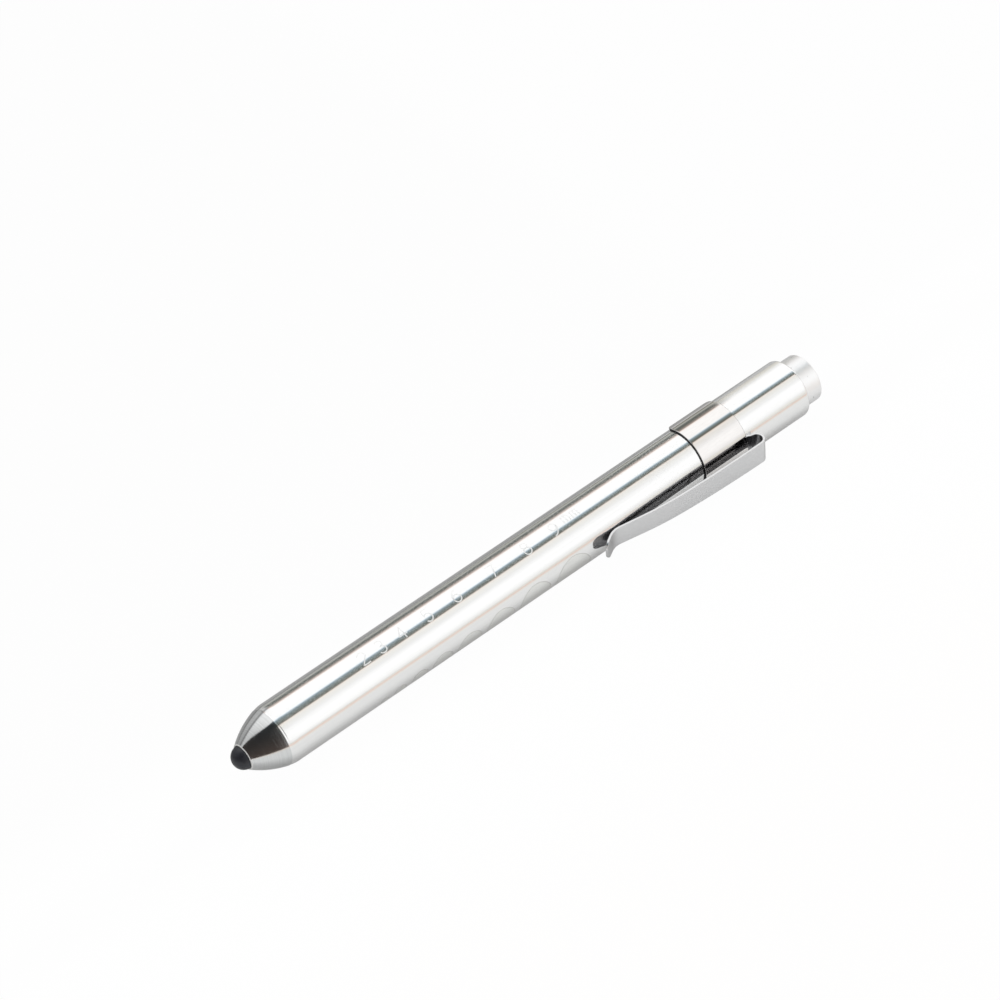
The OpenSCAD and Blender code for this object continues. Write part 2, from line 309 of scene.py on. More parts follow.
def without_haze(stops, back):
    """The same stops with the scattered part of what lies round them taken off."""
    weights = [math.exp(-(angle / haze_spread) ** 2 / 2) for angle in haze_angles]
    clear = []
    for degrees, colour in stops:
        parts = [weight * shown(degrees + angle, back) for weight, angle in zip(weights, haze_angles)]
        scattered = sum(parts, Vector((0, 0, 0))) / sum(weights)
        levels = (Vector(colour) - haze_share * scattered) / (1 - haze_share)
        clear.append((degrees, [min(max(level, level_limits[0]), level_limits[1]) for level in levels]))
    return clear


front_clear = without_haze(front_bands, low_back_bands)
low_back_clear = without_haze(low_back_bands, low_back_bands)
tail_back_clear = without_haze(tail_back_bands, tail_back_bands)
print("darkest level without haze:", round(min(min(colour) for degrees, colour in low_back_clear), 3))

# %% Sky lit by the bands
world = bpy.data.worlds.new("studio")
scene.world = world
world.use_nodes = True
sky = world.node_tree
sky.nodes.clear()
way = node(sky, "SeparateXYZ")
feed(sky, way.inputs[0], node(sky, "TexCoord").outputs["Generated"])
along_pen = way.outputs["X"]
towards_clip = sum_node(sky, "MULTIPLY", way.outputs["Y"], -1.0)
degrees_up = sum_node(sky, "DEGREES", sum_node(sky, "ARCTAN2", way.outputs["Z"], towards_clip))


def rises(source, edges):
    """0 below the first edge, 1 above the second."""
    return spread(sky, source, edges, kind="SMOOTHSTEP")


def bands(stops, angle):
    """Colours by an angle from 0 to 180 degrees."""
    share = sum_node(sky, "DIVIDE", angle, 180.0)
    return graded(sky, share, [(degrees / 180, colour) for degrees, colour in stops])


slant = spread(sky, along_pen, slant_span, slant_shift)
slant_left = sum_node(sky, "MULTIPLY", slant, spread(sky, degrees_up, slant_fade, (1, 0)))
slanted_up = sum_node(sky, "ADD", degrees_up, slant_left)
low_back_up = sum_node(sky, "ADD", degrees_up, spread(sky, along_pen, low_back_span, low_back_shift))
by_nose = bands(nose_back_bands, degrees_up)
low_back = mixed(sky, rises(along_pen, nose_back_end), by_nose, bands(low_back_clear, low_back_up))
back = mixed(sky, rises(along_pen, low_back_end), low_back, bands(tail_back_clear, degrees_up))
cards = mixed(sky, sum_node(sky, "GREATER_THAN", degrees_up, back_from), bands(front_clear, slanted_up), back)
fading = node(sky, "VectorMath", operation="SCALE")
feed(sky, fading.inputs[0], cards)
feed(sky, fading.inputs["Scale"], spread(sky, along_pen, card_fade_span, card_fade))

studio_light = node(sky, "Background")
feed(sky, studio_light.inputs["Color"], fading.outputs[0])
studio_light.inputs["Strength"].default_value = card_level
white_sheet = node(sky, "Background")
white_sheet.inputs["Color"].default_value = (1, 1, 1, 1)
seen_directly = node(sky, "LightPath").outputs["Is Camera Ray"]
choice = shared(sky, seen_directly, studio_light.outputs[0], white_sheet.outputs[0])
feed(sky, node(sky, "OutputWorld").inputs["Surface"], choice)
print("cards lit at", card_level)

# %% [markdown]
# ### Light from above
# The bands alone leave the floor and the plastics dimmer than their colours are written. A wide soft lamp overhead
# brings a matt white back to white. It is kept out of reflections, because the cards are what the metal shows.

# %% Soft lamp over the pen
lamp_height = 0.9
lamp_width = 1.0
lamp_watts = 1.8

soft_light = bpy.data.lights.new("overhead", "AREA")
soft_light.shape = "DISK"
soft_light.size = lamp_width
soft_light.energy = lamp_watts
overhead = bpy.data.objects.new("overhead", soft_light)
overhead.location = (0, 0, lamp_height)
overhead.visible_glossy = False
overhead.visible_transmission = False
scene.collection.objects.link(overhead)
print("lamp", lamp_height, "m over the floor")

# %% [markdown]
# ### A dark flag before the nose
# The nose mirrors a dark wedge, from the side where the photographer stood. A dark part of the sky would do that too,
# but then the whole tube would look black from behind. A flag close to the nose, bent round it like part of a bowl,
# darkens the nose and, for an eye behind the tail, only the front end of the tube. It shows in reflections alone: it
# takes no light away and no camera sees it.

# %% Dark flag
flag_reach = 30 * MM
flag_ahead = 3 * MM
flag_middle = Vector((seam_x - flag_ahead, axis_y, axis_z))
# X parts of the directions in which it starts and ends
flag_start, flag_stop = 0.02, -0.995
# Angles over the front horizon: its lower edge, its top beside the seam, and how far that rises towards the nose
flag_low, flag_top, flag_rise = -2.6, 92.2, 45.5
# Where the rise begins, and the X part over which it is complete
flag_rise_from, flag_rise_span = -0.04, 0.72
flag_rows, flag_columns = 48, 60
# Brightness by height over the pen's axis, as a share of its reach
flag_tones = [(0.0, (0.075, 0.055, 0.047)), (0.6, (0.040, 0.034, 0.031)), (1.0, (0.022, 0.024, 0.026))]

flag_points = []
for i in range(flag_rows + 1):
    forward = flag_start + (flag_stop - flag_start) * i / flag_rows
    out = flag_reach * math.sqrt(1 - forward ** 2)
    lift = min(1.0, max(0.0, (flag_rise_from - forward) / flag_rise_span))
    top = flag_top + flag_rise * lift ** 2
    for k in range(flag_columns + 1):
        turn = math.radians(flag_low + (top - flag_low) * k / flag_columns)
        flag_points.append((flag_reach * forward, -out * math.cos(turn), out * math.sin(turn)))
flag_faces = []
for i in range(flag_rows):
    for k in range(flag_columns):
        a, b = i * (flag_columns + 1) + k, (i + 1) * (flag_columns + 1) + k
        flag_faces.append((a, b, b + 1, a + 1))
flag_mesh = bpy.data.meshes.new("nose_flag")
flag_mesh.from_pydata(flag_points, [], flag_faces)
flag = bpy.data.objects.new("nose_flag", flag_mesh)
flag.location = flag_middle
scene.collection.objects.link(flag)
flag.visible_camera = flag.visible_diffuse = flag.visible_shadow = flag.visible_transmission = False

cloth = blank_material("flag_cloth")
tree = cloth.node_tree
spot = node(tree, "SeparateXYZ")
feed(tree, spot.inputs[0], node(tree, "TexCoord").outputs["Object"])
height = sum_node(tree, "DIVIDE", spot.outputs["Z"], flag_reach)
dim = node(tree, "Emission")
feed(tree, dim.inputs["Color"], graded(tree, height, flag_tones))
feed(tree, node(tree, "OutputMaterial").inputs["Surface"], dim.outputs[0])
flag_mesh.materials.append(cloth)
print(len(flag_faces), "faces in the flag")

# %% [markdown]
# ## The floor
# The pen lies on a white sheet that shows no edge and hardly any shadow. A plain diffuse floor would grey towards its
# far side, so most of its white is given straight to the rays that come from the camera, and a smaller part to those
# that come by way of metal or clear plastic. The rest is ordinary diffuse, which keeps the shadow under the pen. Its
# colour changes with its place: painted shade darkens it close in front of the pen's axis and all behind the pen, but
# less behind the tail, and so darkens the floor that the tube's underside mirrors. In front it has a warm tint where
# it met the card.

# %% Floor
floor_half = 4.0
seen_white = 0.98
mirrored_white = 0.12
# Colour of the sheet by its place in front of the pen's axis (minus) or behind it, in mm: a warm tint in front,
# and painted shade that dips just in front of the axis and deepens behind the pen
floor_span = 300.0
floor_tint_and_shade = [
    (-300.0, (0.86, 0.84, 0.81)),
    (-170.0, (0.84, 0.79, 0.73)),
    (-95.0, (0.86, 0.66, 0.58)),
    (-70.0, (0.87, 0.70, 0.61)),
    (-52.0, (0.88, 0.80, 0.735)),
    (-42.0, (0.88, 0.855, 0.82)),
    (-34.0, grey(0.88)),
    (-14.0, grey(0.87)),
    (-11.0, grey(0.79)),
    (-9.0, grey(0.70)),
    (-7.0, grey(0.62)),
    (-5.0, grey(0.57)),
    (-2.0, grey(0.67)),
    (6.0, grey(0.80)),
    (20.0, grey(0.33)),
    (45.0, grey(0.31)),
    (90.0, grey(0.20)),
    (300.0, grey(0.17)),
]
# Behind the tail the painted shade is lighter: where that starts and is complete along X, and its colour
tail_sheet = (70 * MM, 92 * MM)
tail_lighter_shade = grey(0.52)

sheet = bpy.data.meshes.new("floor")
corners = [(-floor_half, -floor_half, 0), (floor_half, -floor_half, 0),
           (floor_half, floor_half, 0), (-floor_half, floor_half, 0)]
sheet.from_pydata(corners, [], [(0, 1, 2, 3)])
floor = bpy.data.objects.new("floor", sheet)
scene.collection.objects.link(floor)

paper = blank_material("paper_floor")
tree = paper.node_tree
path = node(tree, "LightPath")
by_metal = sum_node(tree, "MAXIMUM", path.outputs["Is Glossy Ray"], path.outputs["Is Transmission Ray"])
glow_share = sum_node(tree, "MAXIMUM", sum_node(tree, "MULTIPLY", path.outputs["Is Camera Ray"], seen_white),
                      sum_node(tree, "MULTIPLY", by_metal, mirrored_white))
spot = node(tree, "SeparateXYZ")
feed(tree, spot.inputs[0], node(tree, "TexCoord").outputs["Object"])
behind_axis = sum_node(tree, "SUBTRACT", spot.outputs["Y"], axis_y)
floor_share = sum_node(tree, "ADD", sum_node(tree, "DIVIDE", behind_axis, 2 * floor_span * MM), 0.5)
# The sheet's colour by place: the warm tint in front and the painted shade near and behind the pen
tint_and_shade_by_place = graded(tree, floor_share, [(place / (2 * floor_span) + 0.5, colour) for place, colour in floor_tint_and_shade])
past_tail = spread(tree, spot.outputs["X"], tail_sheet, kind="SMOOTHSTEP")
matt = node(tree, "BsdfDiffuse")
feed(tree, matt.inputs["Color"], mixed(tree, past_tail, tint_and_shade_by_place, (*tail_lighter_shade, 1), "LIGHTEN"))
both = shared(tree, glow_share, matt.outputs[0], node(tree, "Emission").outputs[0])
feed(tree, node(tree, "OutputMaterial").inputs["Surface"], both)
sheet.materials.append(paper)
print("floor is", 2 * floor_half, "m across")

# %% [markdown]
# ## Finishes
# One Principled shader per finish, with its colour, roughness and relief driven by textures in the piece's own
# coordinates, so that they stay fixed to the metal when a joint moves. A texture space that is stretched along X gives
# marks that run along the pen; one that only knows X gives the rings of a lathe.

# %% A blank finish, and the textures that all finishes share
finishes = {}


class Finish:
    """A material with one Principled shader and shortcuts for the textures that drive it, kept under its name."""

    def __init__(self, name, metallic=1.0):
        finishes[name] = blank_material(name)
        self.tree = finishes[name].node_tree
        shader = node(self.tree, "BsdfPrincipled")
        self.inputs = shader.inputs
        self.inputs["Metallic"].default_value = metallic
        self.place = node(self.tree, "TexCoord").outputs["Object"]
        out = node(self.tree, "OutputMaterial")
        feed(self.tree, out.inputs["Surface"], shader.outputs[0])

    def noise(self, per_mm, detail=2.0):
        """Noise with its own number of features per millimetre along X, Y and Z."""
        stretch = node(self.tree, "Mapping")
        stretch.inputs["Scale"].default_value = [n / MM for n in per_mm]
        feed(self.tree, stretch.inputs["Vector"], self.place)
        cloud = node(self.tree, "TexNoise")
        cloud.inputs["Scale"].default_value = 1.0
        cloud.inputs["Detail"].default_value = detail
        feed(self.tree, cloud.inputs["Vector"], stretch.outputs["Vector"])
        return cloud.outputs["Fac"]

    def rings(self, per_mm, detail=3.0):
        """Noise that only changes along the pen: the rings that a lathe tool leaves."""
        axes = node(self.tree, "SeparateXYZ")
        feed(self.tree, axes.inputs[0], self.place)
        line = node(self.tree, "TexNoise", noise_dimensions="1D")
        line.inputs["Scale"].default_value = 1.0
        line.inputs["Detail"].default_value = detail
        feed(self.tree, line.inputs["W"], sum_node(self.tree, "MULTIPLY", axes.outputs["X"], per_mm / MM))
        return line.outputs["Fac"]

    def colours(self, source, low, high, edges=(0.35, 0.65)):
        """Base colour that runs from low to high as a texture rises."""
        feed(self.tree, self.inputs["Base Color"], graded(self.tree, source, [(edges[0], low), (edges[1], high)]))

    def roughness(self, source, low_and_high, edges=(0.3, 0.7)):
        """Roughness that runs from low to high as a texture rises."""
        feed(self.tree, self.inputs["Roughness"], spread(self.tree, source, edges, low_and_high))

    def relief(self, source, height):
        """Bump of a stated height in metres."""
        bump = node(self.tree, "Bump")
        bump.inputs["Distance"].default_value = height
        feed(self.tree, bump.inputs["Height"], source)
        feed(self.tree, self.inputs["Normal"], bump.outputs["Normal"])


def grained(name, per_mm, low, high, rough, detail=2.0, metallic=1.0, relief=None):
    """A finish with one grain: its colour, its roughness and, if asked for, its relief follow the same noise."""
    finish = Finish(name, metallic)
    grain = finish.noise(per_mm, detail)
    finish.colours(grain, low, high)
    finish.roughness(grain, rough)
    if relief:
        finish.relief(grain, relief)
    return finish


print("finish recipes ready")

# %% [markdown]
# ### Bright metals
# The barrel and tail are buffed to a mirror, with scratches too fine to be seen one by one: they scatter some of the
# light, so the tube's dark lines look paler than those on the clip. The nose kept the rings of the lathe: they scatter
# light along the pen but not round it, so its shader is anisotropic and its relief changes along X only. The button is
# tumbled to a satin that blurs every reflection, with a few dark specks. The clip's steel is chrome plated, which
# mirrors less than aluminium and so looks darker under the same cards.

# %% Bright metal finishes
tube = Finish("polished_tube")
tube.colours(tube.noise((0.02, 1.4, 1.4), detail=4.0), (0.865, 0.865, 0.86), (0.895, 0.895, 0.89))
tube.roughness(tube.noise((6.0, 30.0, 30.0)), (0.045, 0.5), edges=(0.58, 0.66))
tube.relief(tube.noise((0.05, 2.2, 2.2)), 0.00025 * MM)

nose = Finish("turned_nose")
lathe_marks = nose.rings(5.5)
nose.colours(lathe_marks, (0.68, 0.69, 0.69), (0.74, 0.75, 0.75))
nose.roughness(nose.rings(2.1), (0.12, 0.17))
nose.relief(lathe_marks, 0.0015 * MM)
nose.inputs["Anisotropic"].default_value = 0.75
nose.inputs["Anisotropic Rotation"].default_value = 0.25
circles = node(nose.tree, "Tangent", direction_type="RADIAL", axis="X")
feed(nose.tree, nose.inputs["Tangent"], circles.outputs["Tangent"])

button = Finish("satin_button")
button.colours(button.noise((1.1, 1.1, 1.1), detail=1.0), grey(0.91), (0.45, 0.45, 0.44), edges=(0.74, 0.78))
button.roughness(button.noise((3.0, 3.0, 3.0)), (0.36, 0.46))
button.relief(button.noise((7.0, 7.0, 7.0)), 0.002 * MM)

plated = grained("plated_clip", (0.5, 2.0, 2.0), (0.81, 0.79, 0.775), (0.84, 0.82, 0.805), (0.02, 0.04), detail=3.0)
plated.relief(plated.noise((0.2, 0.8, 0.8)), 0.0001 * MM)
print("bright metals written:", " ".join(finishes))

# %% [markdown]
# ### Metal that was cut, rubbed or etched, and painted shade and highlight
# These have one grain each, so one line is enough: the number of marks per millimetre, the colours and the roughness
# between which they run. The band's edge faces are painted nearly black as painted shade and dark reflection, the
# rubbed rim of the nose is matt and painted pale as a highlight, the strip's inside is painted dark as shade, and the
# etched gauge lies in between.

# %% Metals with a grain
# Rubbed matt rim, its pale colour a painted highlight
grained("rubbed_rim_and_highlight", (5.0, 5.0, 5.0), (0.78, 0.78, 0.77), (0.88, 0.88, 0.87), (0.5, 0.7), metallic=0.3)
grained("bare_thread", (6.0, 0.8, 0.8), (0.60, 0.61, 0.62), (0.78, 0.79, 0.80), (0.22, 0.36))
# Near-black painted shade and dark reflection for the band's edge faces
grained("painted_dark_edge", (6.0, 6.0, 6.0), (0.022, 0.022, 0.024), (0.045, 0.045, 0.048), (0.42, 0.6))
grained("rolled_strip", (0.9, 5.0, 5.0), (0.67, 0.67, 0.675), (0.71, 0.71, 0.715), (0.10, 0.16), detail=3.0,
        relief=0.0003 * MM)
# Painted shade: the strip's inside, within the turn and facing the tube, is dark
grained("painted_shade_inside", (0.9, 5.0, 5.0), (0.21, 0.21, 0.22), (0.27, 0.27, 0.28), (0.16, 0.24), detail=3.0)
grained("etched_disc", (9.0, 2.5, 2.5), (0.80, 0.80, 0.78), (0.85, 0.85, 0.83), (0.16, 0.24), detail=3.0)
grained("etched_line", (8.0, 8.0, 8.0), (0.90, 0.90, 0.895), (0.98, 0.98, 0.975), (0.40, 0.55))
grained("etched_rim", (8.0, 8.0, 8.0), (0.58, 0.58, 0.56), (0.68, 0.68, 0.66), (0.25, 0.36))
print(len(finishes), "finishes so far")

# %% [markdown]
# ### Lamp, contacts and plastics
# Switched off, the clear epoxy lamp looks like black glass with a blue cast, because its dark socket shows through.
# It is a dark dielectric with a slightly hazy skin, its near-black colour painted shade for that socket. The pieces
# inside the tube follow what such torches hold: stamped brass, tinned leads, moulded plastic, drawn wire and a printed
# cell jacket.

# %% Lamp and inner finishes, and a finish for every solid
moulded = {"rough": (0.42, 0.58), "metallic": 0.0, "relief": 0.004 * MM}

# Painted shade: near-black colour for the dark socket seen through the clear lamp
lamp = grained("clear_lamp", (0.9, 0.9, 0.9), (0.014, 0.015, 0.021), (0.026, 0.028, 0.036), (0.34, 0.48), detail=4.0,
               metallic=0.0)
lamp.inputs["IOR"].default_value = 1.53
grained("lamp_lead", (0.3, 9.0, 9.0), (0.62, 0.63, 0.65), (0.76, 0.77, 0.79), (0.24, 0.38))
grained("black_plastic", (4.0, 4.0, 4.0), (0.022, 0.022, 0.024), (0.040, 0.040, 0.042), **moulded)
grained("white_plastic", (4.0, 4.0, 4.0), (0.78, 0.77, 0.73), (0.84, 0.83, 0.80), **moulded)
grained("contact_brass", (0.8, 0.8, 0.8), (0.66, 0.50, 0.20), (0.80, 0.64, 0.30), (0.22, 0.36), detail=4.0)
grained("spring_wire", (2.0, 2.0, 2.0), (0.60, 0.61, 0.63), (0.72, 0.73, 0.75), (0.20, 0.32), detail=3.0)
grained("cell_jacket", (3.0, 3.0, 3.0), (0.08, 0.23, 0.14), (0.12, 0.29, 0.18), (0.28, 0.40), metallic=0.3)

for part in frame["record"]["subparts"]:
    solid = frame["nodes"][part["node"]]
    solid.data.materials.clear()
    solid.data.materials.append(finishes[part["material_slot"]])
print(len(finishes), "finishes,", len(frame["nodes"]), "solids dressed")

# %% [markdown]
# ## Making pieces from points
# The new pieces are all closed meshes worked out by loops. One helper turns points and faces into a piece, rides it on
# its body and gives it its finish, and a second one turns a profile about the pen's axis, as a lathe would.

# %% Mesh helpers


def piece(name, points, faces, finish, slot, body=None, sharp_over=40):
    """A mesh piece in the row frame, its faces turned outwards. They smooth into each other unless they meet at a
    sharper angle."""
    mesh = bpy.data.meshes.new(name)
    mesh.from_pydata(points, [], faces)
    shape = bmesh.new()
    shape.from_mesh(mesh)
    if shape.calc_volume(signed=True) < 0:
        mesh.flip_normals()
    shape.free()
    mesh.materials.append(finish)
    mesh.polygons.foreach_set("use_smooth", [True] * len(mesh.polygons))
    mesh.set_sharp_from_angle(angle=math.radians(sharp_over))
    obj = bpy.data.objects.new(name, mesh)
    scene.collection.objects.link(obj)
    if body:
        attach(obj, body)
    print(f"{name}: {len(points)} points, {len(faces)} faces")
    return obj


def tube_faces(rings, sides, closed=False):
    """Quads between rings of points, with the first and last ring joined or capped."""
    faces = []
    for i in range(rings if closed else rings - 1):
        for k in range(sides):
            a, b = i * sides, (i + 1) % rings * sides
            after = (k + 1) % sides
            faces.append((a + k, b + k, b + after, a + after))
    if not closed:
        faces.append(tuple(range(sides)))
        faces.append(tuple((rings - 1) * sides + k for k in reversed(range(sides))))
    return faces


def lathed(profile, steps):
    """Points and faces of a closed profile, given as (along, out), turned about the pen's axis."""
    points = [round_pen(along, 360 * i / steps, out) for i in range(steps) for along, out in profile]
    return points, tube_faces(steps, len(profile), closed=True)


print("mesh helpers ready")

# %% [markdown]
# ## Tube and nose on the lathe
# A mirror shows every facet, so the barrel is turned again with many more steps than the imported solid. Only its
# outside matters to the eye, but the bore and the counterbore of the thread are kept, because they show once the tail
# is unscrewed. The nose gets the grooves that the lathe tool left: fine ridges of uneven depth that break each
# reflection into streaks. They come from sums of sines, which repeat too seldom to be noticed on a piece this short.
# Its rim is rubbed matt and painted pale, a painted highlight that shows as a pale ring round the lamp.

# %% Barrel and nose
nose_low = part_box("nose_cone")[0]
seam_r = 6.09 * MM
seam_land = 0.2 * MM
shoulder_round = 7.15 * MM
shoulder_drop = tube_r - seam_r
shoulder_run = math.sqrt(2 * shoulder_round * shoulder_drop - shoulder_drop ** 2)
bore_r, thread_bore_r, thread_bore_run = 5.32 * MM, 5.78 * MM, 8.55 * MM
shoulder_steps = 24
smooth_steps = 256

shoulder = []
for i in range(shoulder_steps + 1):
    back = shoulder_run * (1 - i / shoulder_steps)
    out = tube_r - shoulder_round + math.sqrt(shoulder_round ** 2 - back ** 2)
    shoulder.append((seam_x + seam_land + shoulder_run - back, out))
barrel_profile = ([(seam_x, bore_r), (seam_x, seam_r)] + shoulder
                  + [(barrel_end, tube_r), (barrel_end, thread_bore_r),
                     (barrel_end - thread_bore_run, thread_bore_r), (barrel_end - thread_bore_run, bore_r)])
barrel_shell = piece("barrel_shell", *lathed(barrel_profile, smooth_steps), finishes["polished_tube"],
                     "polished_tube", "barrel", sharp_over=25)
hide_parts("barrel_tube")

nose_run = seam_x - nose_low.x
rim_r = 2.68 * MM
side_arc = 19.5 * MM
groove_depth = 0.010 * MM
# Waves of the grooves as (share, radians per mm, phase), their share of the depth at the seam, and the mm that they
# take to grow from there
groove_waves = [(1.0, 12.4, 0.0), (0.8, 19.0, 1.1), (0.6, 31.3, 0.4)]
seam_share, seam_fade = 0.35, 1.5
groove_steps = 320
nose_steps = 144
# Width of the rim's ring, rubbed matt and painted pale as a highlight
rim_highlight_width = 0.12 * MM
# The nose's inside as (mm behind the seam, radius in mm), from the spigot to the lamp's hole
spigot, lamp_hole = 5.28, 2.49
nose_inside = [(0.0, spigot), (8.2, spigot), (8.2, 4.40), (-0.35, 4.40), (-0.35, 2.94), (-1.42, 2.94),
               (-1.42, lamp_hole)]

half_chord = math.hypot(nose_run, seam_r - rim_r) / 2
chord_slope = math.atan2(seam_r - rim_r, nose_run)
bulge_reach = math.sqrt(side_arc ** 2 - half_chord ** 2)
arc_along = (nose_low.x + seam_x) / 2 + bulge_reach * math.sin(chord_slope)
arc_out = (rim_r + seam_r) / 2 - bulge_reach * math.cos(chord_slope)


def groove(along):
    """How deep the tool cut at a place along the nose."""
    mm = (along - seam_x) / MM
    wave = sum(share * math.sin(rate * mm + phase) for share, rate, phase in groove_waves)
    highest = sum(share for share, rate, phase in groove_waves)
    clear_of_seam = min(1.0, max(seam_share, -mm / seam_fade))
    return groove_depth * clear_of_seam * (wave / highest + 1) / 2


nose_side = []
for i in range(groove_steps + 1):
    along = nose_low.x + nose_run * i / groove_steps
    nose_side.append((along, arc_out + math.sqrt(side_arc ** 2 - (along - arc_along) ** 2) - groove(along)))
nose_profile = ([(nose_low.x, lamp_hole * MM)] + nose_side
                + [(seam_x + along * MM, out * MM) for along, out in nose_inside])
nose_shell = piece("nose_shell", *lathed(nose_profile, nose_steps), finishes["turned_nose"],
                   "turned_nose", "barrel", sharp_over=25)
nose_shell.data.materials.append(finishes["rubbed_rim_and_highlight"])
for face in nose_shell.data.polygons:
    if face.center.x < nose_low.x + rim_highlight_width:
        face.material_index = 1
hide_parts("nose_cone")
print(f"shoulder runs {shoulder_run / MM:.2f} mm, nose {nose_run / MM:.2f} mm")

# %% [markdown]
# ## The pupil gauge
# A nurse holds the tube beside a patient's eye and compares the pupil with discs of 2 to 9 mm. They are etched, which
# leaves a matt grey skin with a fine darker edge. A decal or an image would be quick, but thin closed skins wrapped on
# the tube are real geometry: they keep their size and need no picture.
# The discs stand in one row with equal gaps, just under the clip's side.

# %% Discs of the gauge
disc_sizes = range(2, 10)
first_disc = seam_x + 22.45 * MM
disc_gap = 1.3 * MM
disc_row = -23.0
rim_width = 0.13 * MM
skin_out = tube_r + 0.003 * MM
skin_in = tube_r - 0.03 * MM
rim_out = tube_r + 0.0045 * MM
# Rings of points from a disc's edge to its middle, and the share of its radius at which they end
disc_rings, disc_hub = 12, 0.004


def wrapped(along, row, right, up, out):
    """A point of a flat drawing, given as right and up in metres, laid on the tube round a place in a row."""
    return round_pen(along + right, row + math.degrees(up / tube_r), out)


def add_loops(points, faces, loops):
    """Joins loops of points, from the outside in on top and back out below, as one closed skin."""
    start, sides, count = len(points), len(loops[0]), len(loops)
    for loop in loops:
        points.extend(loop)
    for i in range(count):
        for k in range(sides):
            a, b = start + i * sides, start + (i + 1) % count * sides
            after = (k + 1) % sides
            faces.append((a + k, a + after, b + after, b + k))


def disc_loops(along, radii, sides=96):
    """Loops of a disc on the tube, for (radius, out) pairs."""
    turns = [2 * math.pi * k / sides for k in range(sides)]
    return [[wrapped(along, disc_row, r * math.cos(t), r * math.sin(t), out) for t in turns] for r, out in radii]


disc_points, disc_faces, rim_points, rim_faces = [], [], [], []
disc_along = first_disc
for size in disc_sizes:
    radius = size / 2 * MM
    if size > disc_sizes[0]:
        disc_along += radius + disc_gap
    shares = [1 - i / disc_rings for i in range(disc_rings)] + [disc_hub]
    top = [((radius - rim_width / 2) * s, skin_out) for s in shares]
    under = [(r, skin_in) for r, out in reversed(top)]
    add_loops(disc_points, disc_faces, disc_loops(disc_along, top + under))
    inner = radius - rim_width
    edge = [(radius, skin_in), (radius, rim_out), (inner, rim_out), (inner, skin_in)]
    add_loops(rim_points, rim_faces, disc_loops(disc_along, edge))
    disc_along += radius
piece("gauge_discs", disc_points, disc_faces, finishes["etched_disc"], "polished_tube", "barrel")
piece("gauge_rims", rim_points, rim_faces, finishes["etched_rim"], "polished_tube", "barrel")
print(f"last disc ends {(disc_along - seam_x) / MM:.1f} mm behind the seam")

# %% [markdown]
# ### Numerals
# Over the discs, on the upper side, run the plain numerals 2 to 9 and a raised unit. A text object would bring a
# printed typeface with thick and thin strokes. An engraver moves one round tool along a line, so each sign here is
# drawn as lines and arcs, given a constant width and wrapped on the tube like the discs.

# %% Lines and arcs of each sign, in units of its height


def arc(cx, cy, rx, ry, start, stop, steps=16):
    """Points of an ellipse's arc about a middle, from one angle in degrees to another."""
    turns = [math.radians(start + (stop - start) * i / steps) for i in range(steps + 1)]
    return [(cx + rx * math.cos(t), cy + ry * math.sin(t)) for t in turns]


six = [arc(0, 0.30, 0.28, 0.30, 0, 360), arc(0.26, 0.30, 0.54, 0.66, 180, 92)]
signs = {
    "2": [arc(0, 0.71, 0.28, 0.27, 165, -38) + [(-0.29, 0.02), (0.30, 0.02)]],
    "3": [arc(-0.02, 0.74, 0.25, 0.24, 150, -90) + arc(-0.02, 0.25, 0.29, 0.25, 90, -152)],
    "4": [[(0.10, 0.0), (0.10, 0.98), (-0.32, 0.29), (0.33, 0.29)]],
    "5": [[(0.26, 0.97), (-0.20, 0.97), (-0.25, 0.50)] + arc(-0.02, 0.31, 0.29, 0.31, 118, -145)],
    "6": six,
    "7": [[(-0.29, 0.97), (0.29, 0.97), (-0.08, 0.0)]],
    "8": [arc(0, 0.75, 0.23, 0.23, 0, 360), arc(0, 0.27, 0.28, 0.26, 0, 360)],
    "9": [[(-x, 1 - y) for x, y in line] for line in six],
    "mm": [[(side - 0.26, 0.40), (side - 0.26, 0.98)] for side in (-0.38, 0.38)]
          + [arc(side - 0.13 + hop, 0.82, 0.13, 0.16, 180, 0, 8) + [(side + hop, 0.40)]
             for side in (-0.38, 0.38) for hop in (0, 0.26)],
}
print("signs:", " ".join(signs))

# %% Numerals engraved on the tube
sign_height = 2.9 * MM
stroke_width = 0.26 * MM
sign_row = 64.5
step_length = 0.12 * MM
# Middle of each sign, in mm behind the nose seam
sign_places = {"2": 21.8, "3": 26.1, "4": 31.2, "5": 37.6, "6": 44.7, "7": 53.9, "8": 62.5, "9": 69.8, "mm": 74.3}


def evenly(line, step):
    """The same line with points no further apart than step."""
    points = [Vector(p) for p in line]
    fine = [points[0]]
    for a, b in zip(points, points[1:]):
        parts = max(1, math.ceil((b - a).length / step))
        fine += [a.lerp(b, i / parts) for i in range(1, parts + 1)]
    return fine


def stroke(points, faces, along, line):
    """Adds one engraved line, as a thin skin of constant width with square ends."""
    flat = evenly([(x * sign_height, y * sign_height) for x, y in line], step_length)
    start = len(points)
    for i, p in enumerate(flat):
        run = (flat[min(i + 1, len(flat) - 1)] - flat[max(i - 1, 0)]).normalized()
        side = Vector((-run.y, run.x)) * stroke_width / 2
        left, right = p + side, p - side
        for spot, out in ((left, skin_out), (right, skin_out), (right, skin_in), (left, skin_in)):
            points.append(wrapped(along, sign_row, spot.x, spot.y, out))
    faces.extend(tuple(start + i for i in face) for face in tube_faces(len(flat), 4))


sign_points, sign_faces = [], []
for sign, place in sign_places.items():
    for line in signs[sign]:
        stroke(sign_points, sign_faces, seam_x + place * MM, line)
piece("gauge_numerals", sign_points, sign_faces, finishes["etched_line"], "polished_tube", "barrel")
